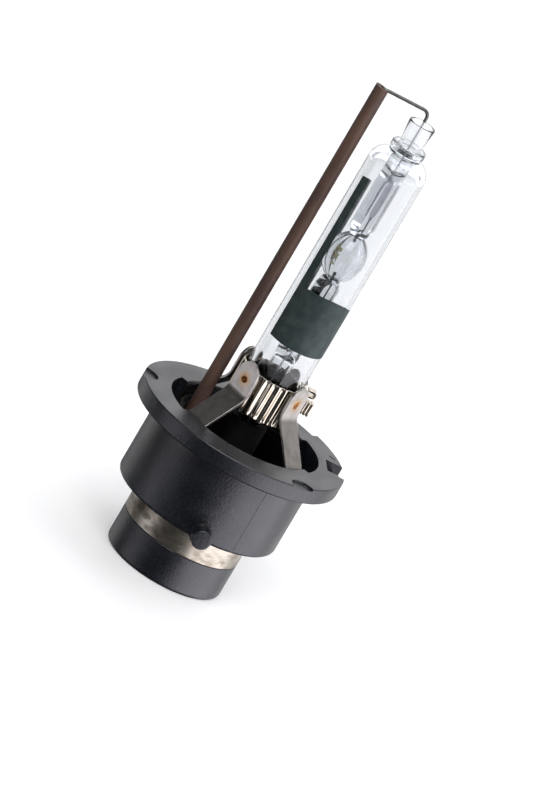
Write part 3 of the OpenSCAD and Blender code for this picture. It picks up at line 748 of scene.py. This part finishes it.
# %% Electrodes
rod_r, tip_r = 0.15, 0.22
for name, tip_end, root_end in (("lower_electrode", 50.4, 43.2), ("upper_electrode", 55.0, 59.5)):
    way = 1 if root_end < tip_end else -1
    rod = turned([(0, root_end), (rod_r, root_end), (rod_r, tip_end - way * 0.42, 0.03),
                  (tip_r, tip_end - way * 0.34, 0.05), (tip_r, tip_end, 0.15),
                  (0, tip_end)], steps=24)
    piece(name + "_rod", rod, tungsten, "tungsten", name)

# %% Foils with feathered edges
foil_end, foil_half, foil_taper, foil_flatness = 0.2, 0.74, 1.1, 0.045
for node in ("lower_foil", "upper_foil"):
    _, z0, z1 = span(node)
    foil = turned([(0, z0), (foil_end, z0, 0.05), (foil_half, z0 + foil_taper, 0.6),
                   (foil_half, z1 - foil_taper, 0.6), (foil_end, z1, 0.05), (0, z1)], steps=32)
    bmesh.ops.scale(foil, vec=(1, foil_flatness, 1), verts=foil.verts)
    turn_by(foil, SEAL_TURN)
    piece(node + "_leaf", foil, molybdenum, "molybdenum", node)

# %% Leads, thicker where they are welded to the foils
_, lead_low, lead_high = span("lower_lead")
piece("lower_lead_rod", turned([
    (0, lead_low), (rod_r, lead_low), (rod_r, lead_high - 0.9, 0.1), (0.24, lead_high - 0.6, 0.1),
    (0.22, lead_high, 0.1), (0, lead_high)], steps=24), molybdenum, "molybdenum", "lower_lead")
_, lead_low, lead_high = span("upper_lead")
piece("upper_lead_rod", turned([
    (0, lead_low), (0.22, lead_low, 0.1), (0.26, lead_low + 0.7, 0.1), (rod_r, lead_low + 1.1, 0.1),
    (rod_r, lead_high), (0, lead_high)], steps=24), molybdenum, "molybdenum", "upper_lead")

# %% Salt patch on the chamber wall
salt_low, salt_high = (h / MM for h in (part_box("salt_fill")[0].z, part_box("salt_fill")[1].z))
side_points = [p for p in bulge(chamber_r, chamber_half, chamber_end, 34)
               if salt_low < p[1] < salt_high]
patch = [(r - 0.02, z) for r, z in side_points]
patch += [(r - 0.03 - 0.09 * math.sin(math.pi * (z - salt_low) / (salt_high - salt_low)), z)
          for r, z in reversed(side_points)]
salt_start, salt_arc = 146, 90
salt = spun(patch, True, salt_start, salt_arc, 30)
crystals_per_mm, crystal_height = 3.5, 0.03
for vert in salt.verts:
    vert.co.xy *= 1 - crystal_height * abs(noise.noise(vert.co * crystals_per_mm))
piece("condensed_salts", salt, metal_salts, "metal_salts", "salt_fill")

# %% [markdown]
# ## The clamp
# A strip of nickel-plated steel is pressed into flutes, wrapped round the glass and
# locked at one side. The flutes fade towards the two rims, where the strip is turned
# out a little, and that is what makes the bright vertical stripes.

# %% Fluted sleeve
crest_r, clamp_low, clamp_high = (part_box("clamp_sleeve")[1].x / MM, *span("clamp_sleeve")[1:])
strip_t, flute, count = 0.2, 0.35, 26
mid_r = crest_r - flute / 2
levels = [clamp_low + (clamp_high - clamp_low) * t for t in (0, 0.04, 0.1, 0.2, 0.8, 0.9, 0.96, 1)]
sleeve = turned([(mid_r, z) for z in levels] + [(mid_r - strip_t, z) for z in reversed(levels)],
                closed=True, steps=count * 8)
for vert in sleeve.verts:
    angle = math.atan2(vert.co.y, vert.co.x)
    to_rim = min(vert.co.z - clamp_low, clamp_high - vert.co.z) / (clamp_high - clamp_low)
    depth = flute / 2 * min(1, 0.45 + to_rim * 5)
    out = depth * math.cos(count * angle) + max(0, 0.06 - to_rim) * 1.2
    vert.co.xy *= (vert.co.xy.length + out) / vert.co.xy.length
piece("fluted_clamp", sleeve, clamp_nickel, "clamp_nickel", "clamp_sleeve", crease=60)

# %% [markdown]
# The strip's two ends stand out together at one side: folded over at the top, and
# gripped by a crimped block below. The fold is an end face extruded out, spun round
# half a turn and extruded back, just as the strip was bent.

# %% Strip bending tools
def run(bm, end, move):
    """Extrude the end faces by a vector and return the new end."""
    made = bmesh.ops.extrude_face_region(bm, geom=end)["geom"]
    bmesh.ops.translate(bm, vec=move, verts=[g for g in made if isinstance(g, bmesh.types.BMVert)])
    return [g for g in made if isinstance(g, bmesh.types.BMFace)]


def bend(bm, end, centre, degrees, steps=8):
    """Spin the end faces about an axis along Y and return the new end."""
    made = bmesh.ops.spin(bm, geom=end, cent=centre, axis=(0, 1, 0), dvec=(0, 0, 0),
                          angle=math.radians(degrees), steps=steps,
                          use_merge=False, use_duplicate=False)
    return [g for g in made["geom_last"] if isinstance(g, bmesh.types.BMFace)]


def section(low, high):
    """One flat face at x = low.x to start a strip from."""
    bm = bmesh.new()
    corners = [(low[0], low[1], low[2]), (low[0], high[1], low[2]),
               (low[0], high[1], high[2]), (low[0], low[1], high[2])]
    face = bm.faces.new([bm.verts.new(c) for c in corners])
    return bm, [face]


def sealed(bm):
    """Merge the joints of a bent strip, and drop the faces left inside at each joint."""
    bmesh.ops.remove_doubles(bm, verts=bm.verts, dist=1e-4)
    inner = [f for f in bm.faces if all(len(e.link_faces) > 2 for e in f.edges)]
    bmesh.ops.delete(bm, geom=inner, context="FACES_ONLY")
    bmesh.ops.recalc_face_normals(bm, faces=bm.faces)
    return bm


# %% Folded lock
low, high = (Vector(c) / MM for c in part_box("clamp_lock"))
fold_t = 0.3
fold_r = (high.z - low.z) / 2
lock, end = section((low.x, low.y, low.z), (low.x, high.y, low.z + fold_t))
end = run(lock, end, (high.x - low.x - fold_r, 0, 0))
end = bend(lock, end, (high.x - fold_r, 0, low.z + fold_r), -180, 10)
end = run(lock, end, (-(high.x - low.x - fold_r) + 0.1, 0, 0))
lock = carve(sealed(lock), [], edge=0.05)
piece("folded_lock", lock, clamp_nickel, "clamp_nickel", "clamp_lock")

# %% Crimped block of folded layers
low, high = (Vector(c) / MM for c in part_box("clamp_crimp"))
layers, pitch = [], (high.x - low.x) / 4
for i in range(4):
    x0 = low.x + i * pitch
    layers.append(block((x0, low.y, low.z), (x0 + pitch - 0.1, high.y, high.z)))
core = block((low.x + 0.05, low.y + 0.14, low.z + 0.1),
             (high.x - 0.15, high.y - 0.14, high.z - 0.1))
crimp = carve(joined(*layers, core), [], edge=0.08)
piece("crimped_block", crimp, clamp_nickel, "clamp_nickel", "clamp_crimp")

# %% [markdown]
# ## The straps
# Four spring-steel straps stand on a ring in the well, lean in and are welded to the
# clamp. Each is made the way the press made it: a flat blank with a half-round end,
# folded at two lines, the folds rounded, and then given its thickness.

# %% One strap, along +X
strap_foot, strap_top = (c.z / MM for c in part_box("strap_front_right"))
lean_z, bend_z = flange_top - 0.5, flange_top + 4.9
reach = foot_r - strap_t - plate_r
lean = math.atan2(reach, bend_z - lean_z)
slant = math.hypot(reach, bend_z - lean_z)
fold_round = 0.8
print("strap leans", round(math.degrees(lean), 1), "degrees over", round(slant, 2), "mm")


def fold(bm, z, degrees):
    """Cut the sheet at a height and turn what is above it about that line."""
    cut = bmesh.ops.bisect_plane(bm, geom=bm.verts[:] + bm.edges[:] + bm.faces[:],
                                 plane_co=(0, 0, z), plane_no=(0, 0, 1), dist=1e-4)
    line = [g for g in cut["geom_cut"] if isinstance(g, bmesh.types.BMEdge)]
    hinge = line[0].verts[0].co.copy()
    bmesh.ops.rotate(bm, cent=hinge, matrix=Matrix.Rotation(math.radians(degrees), 3, "Y"),
                     verts=[v for v in bm.verts if v.co.z > z + 1e-3])
    return line


def strap_blank():
    """The folded strap with its outer face at the radius of the foot."""
    bm = bmesh.new()
    half, length = strap_w / 2, lean_z - strap_foot + slant + strap_top - bend_z
    low_z, high_z = strap_foot, strap_foot + length
    corners = [bm.verts.new((foot_r, y, z)) for y, z in
               ((-half, low_z), (half, low_z), (half, high_z), (-half, high_z))]
    bm.faces.new(corners)
    bmesh.ops.bevel(bm, geom=corners[2:], offset=half - 1e-3, affect="VERTICES",
                    segments=14, profile=0.5, material=-1)
    upper = fold(bm, lean_z + slant, math.degrees(lean))
    lower = fold(bm, lean_z, -math.degrees(lean))
    bmesh.ops.bevel(bm, geom=upper + lower, offset=fold_round, affect="EDGES", segments=6,
                    profile=0.5, material=-1)
    bmesh.ops.recalc_face_normals(bm, faces=bm.faces)
    if sum(f.normal.x * f.calc_area() for f in bm.faces) < 0:
        bmesh.ops.reverse_faces(bm, faces=bm.faces)
    return bm


# %% Four straps with thickness and bright rounded rims
def thicken(bm, thickness, edge):
    """Give a sheet its thickness behind its faces, and round its rim."""
    sheet = scratch_object(bm)
    solid = sheet.modifiers.new("thickness", "SOLIDIFY")
    solid.thickness, solid.offset, solid.use_even_offset = thickness, -1, True
    rim = sheet.modifiers.new("rim", "BEVEL")
    rim.width, rim.segments = edge, 3
    rim.limit_method, rim.angle_limit = "ANGLE", math.radians(60)
    done = bmesh.new()
    done.from_mesh(sheet.evaluated_get(bpy.context.evaluated_depsgraph_get()).to_mesh())
    bpy.data.meshes.remove(sheet.data)
    return done


for name, angle in STRAPS.items():
    strap = thicken(strap_blank(), strap_t, 0.07)
    turn_by(strap, angle)
    piece("strap_strip_" + name, strap, strap_steel, "strap_steel", "strap_" + name)

# %% [markdown]
# Each plate was welded with one electrode touch, which left a nugget with a crater.
# It stands off the plate by a tenth of a millimetre, enough to catch the light, which
# a bump in the strap's finish would not do seen from the side.

# %% Weld nuggets
nuggets = []
for angle in STRAPS.values():
    nugget = turned([(0, 0.02), (0.16, 0.03, 0.04), (0.27, 0.1, 0.05), (0.5, 0.01, 0.05),
                     (0.5, -0.05), (0, -0.05)], steps=32)
    turn_by(nugget, 90, "Y")
    shift(nugget, (plate_r + strap_t, 0, weld_z))
    turn_by(nugget, angle)
    nuggets.append(nugget)
piece("weld_nuggets", joined(*nuggets), weld, "weld", "weld_spots")

# %% [markdown]
# ## Return wire and its ceramic tube
# The tube is cut off slightly slanted and notched where the wire leaves it. The wire
# is one round face run up the tube, bent over, run across and bent down to the lead.
# A curve with a bevel would be as round, but the bends here are true quarter turns,
# as a bending tool leaves them.

# %% Ceramic tube
tube_low, tube_high = (Vector(c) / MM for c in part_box("ceramic_tube"))
tube_r = tube_high.y
tube_x = (tube_low.x + tube_high.x) / 2
tube_bore, slant_cut = 0.35, 0.16
tube = turned([(tube_bore, tube_low.z), (tube_r, tube_low.z), (tube_r, tube_high.z + 1),
               (tube_bore, tube_high.z + 1)], closed=True, steps=48)
shift(tube, (tube_x, 0, 0))
bmesh.ops.bisect_plane(tube, geom=tube.verts[:] + tube.edges[:] + tube.faces[:], dist=1e-5,
                       plane_co=(tube_low.x, 0, tube_high.z), plane_no=(slant_cut, 0, 1),
                       clear_outer=True)
bmesh.ops.bridge_loops(tube, edges=[e for e in tube.edges if e.is_boundary])
bmesh.ops.recalc_face_normals(tube, faces=tube.faces)
wire_r, bend_r = 0.25, 0.95
cross_z = tube_high.z - wire_r
notch_half, notch_depth = 0.27, 1.2
tube = carve(tube, [block((tube_x, -notch_half, cross_z - notch_depth),
                          (tube_x + 2, notch_half, tube_high.z + 1))], edge=0.06)
piece("insulating_tube", tube, brown_ceramic, "brown_ceramic", "ceramic_tube")

# %% Return wire
wire_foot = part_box("return_wire")[0].z / MM
wire = bmesh.new()
bmesh.ops.create_circle(wire, cap_ends=True, radius=wire_r, segments=16)
shift(wire, (tube_x, 0, wire_foot))
end = run(wire, wire.faces[:], (0, 0, cross_z - bend_r - wire_foot))
end = bend(wire, end, (tube_x + bend_r, 0, cross_z - bend_r), 90)
end = run(wire, end, (-tube_x - 2 * bend_r, 0, 0))
end = bend(wire, end, (-bend_r, 0, cross_z - bend_r), 90)
end = run(wire, end, (0, 0, -0.6))
piece("return_conductor", sealed(wire), return_metal, "return_metal", "return_wire")

# %% [markdown]
# ## Parts kept from the CAD
# The terminal, the cement and the anchor ring are hidden deep in the base, and their
# shapes are right as they are, so they only get their materials.

# %% Finishes of the kept parts
for name, material in (("ring_terminal", contact_brass), ("potting_fill", cement),
                       ("anchor_ring", strap_steel)):
    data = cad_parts[name].data
    data.materials.clear()
    data.materials.append(material)
    print(name, "gets", material.name)

# %% [markdown]
# ## Floor and light
# Black plastic and clear glass are both drawn by what they reflect, so the lights are
# large panels, each placed for the one surface that mirrors it. A broad panel low on
# the right gives the base its pale sheen and a narrow one on the left edges it, while
# the front between them is left dark. Two more behind the sides draw the outline, a
# small key light above the front lights the rims, and a panel above and one behind
# open up the glass. One sky picture could light it all, but not one surface at a time.

# %% Floor
FLOOR_R = 0.75  # in metres
floor_material, tree, shader, place = new_material(
    "matt_white_floor", "#e0e0e1", 0.6, Emission_Color=(1, 1, 1, 1), Emission_Strength=0.28)
stain(tree, shader, place, "#e5e5e6", 30, 3)
bm = bmesh.new()
bmesh.ops.create_circle(bm, cap_ends=True, radius=FLOOR_R, segments=96)
floor_mesh = bpy.data.meshes.new("floor")
bm.to_mesh(floor_mesh)
bm.free()
floor_mesh.materials.append(floor_material)
floor = bpy.data.objects.new("floor", floor_mesh)
bpy.context.scene.collection.objects.link(floor)
# the panels alone shape the bulb's reflections: the floor is neither seen in them
# nor stands between the bulb and the panels' lower halves
floor.visible_glossy = floor.visible_diffuse = floor.visible_shadow = False
floor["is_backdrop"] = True
print("floor", round(floor.dimensions.x, 2), "m across")

# %% Softboxes
def softbox(name, azimuth, elevation, distance, size, glow, colour="#ffffff"):
    """A rectangular light of a given radiance aimed at the bulb."""
    a, e = math.radians(azimuth), math.radians(elevation)
    towards = Vector((math.sin(a) * math.cos(e), -math.cos(a) * math.cos(e), math.sin(e)))
    data = bpy.data.lights.new(name, "AREA")
    data.shape, data.size, data.size_y = "RECTANGLE", *size
    data.energy, data.color = glow * math.pi * size[0] * size[1], linear(colour)[:3]
    light = bpy.data.objects.new(name, data)
    light.location = Vector((0, 0, 0.03)) + towards * distance
    light.rotation_euler = towards.to_track_quat("Z", "Y").to_euler()
    bpy.context.scene.collection.objects.link(light)
    print(name, "power", round(data.energy, 2), "W")


softbox("right_panel", 62, -14, 0.9, (1.5, 1.2), 3.0, "#f8f7ff")
softbox("right_edge", 130, -14, 0.9, (0.7, 1.0), 0.8)
softbox("left_strip", -76, -14, 0.9, (0.45, 0.8), 1.2, "#f6f6ff")
softbox("left_edge", -140, -14, 0.9, (0.5, 0.8), 0.8)
softbox("front_key", -15, 50, 1.0, (0.6, 0.6), 7.0)
softbox("top_panel", 110, 62, 1.1, (1.2, 1.2), 1.5)
softbox("back_panel", 168, 18, 1.2, (1.4, 0.8), 1.05)

# %% World: dim, a little lighter behind
world = bpy.data.worlds.new("studio")
bpy.context.scene.world = world
world.use_nodes = True
tree = world.node_tree
tree.nodes.clear()
direction = add_node(tree, "ShaderNodeTexCoord").outputs["Generated"]
behind = add_node(tree, "ShaderNodeVectorMath", {
    0: direction, 1: Vector((0.3, 0.9, 0.3)).normalized()}, operation="DOT_PRODUCT")
room = add_node(tree, "ShaderNodeMapRange", {
    "Value": behind.outputs["Value"], "From Min": 0, "From Max": 0.95,
    "To Min": 0.05, "To Max": 0.3}, interpolation_type="SMOOTHSTEP").outputs["Result"]
# what is seen straight or through the glass is the white backdrop; what is only
# reflected is the dim room between the panels
path = add_node(tree, "ShaderNodeLightPath").outputs
through_glass = add_node(tree, "ShaderNodeMix", {
    0: path["Is Transmission Ray"], 2: room, 3: 0.85}).outputs[0]
strength = add_node(tree, "ShaderNodeMix", {
    0: path["Is Camera Ray"], 2: through_glass, 3: 1.05}).outputs[0]
backdrop = add_node(tree, "ShaderNodeBackground", {
    "Color": linear("#f8faff"), "Strength": strength})
add_node(tree, "ShaderNodeOutputWorld", {"Surface": backdrop.outputs["Background"]})
print("world:", world.name)
bpy.context.scene.view_settings.view_transform = "Standard"

# %% Measure the size, and end
low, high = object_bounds()
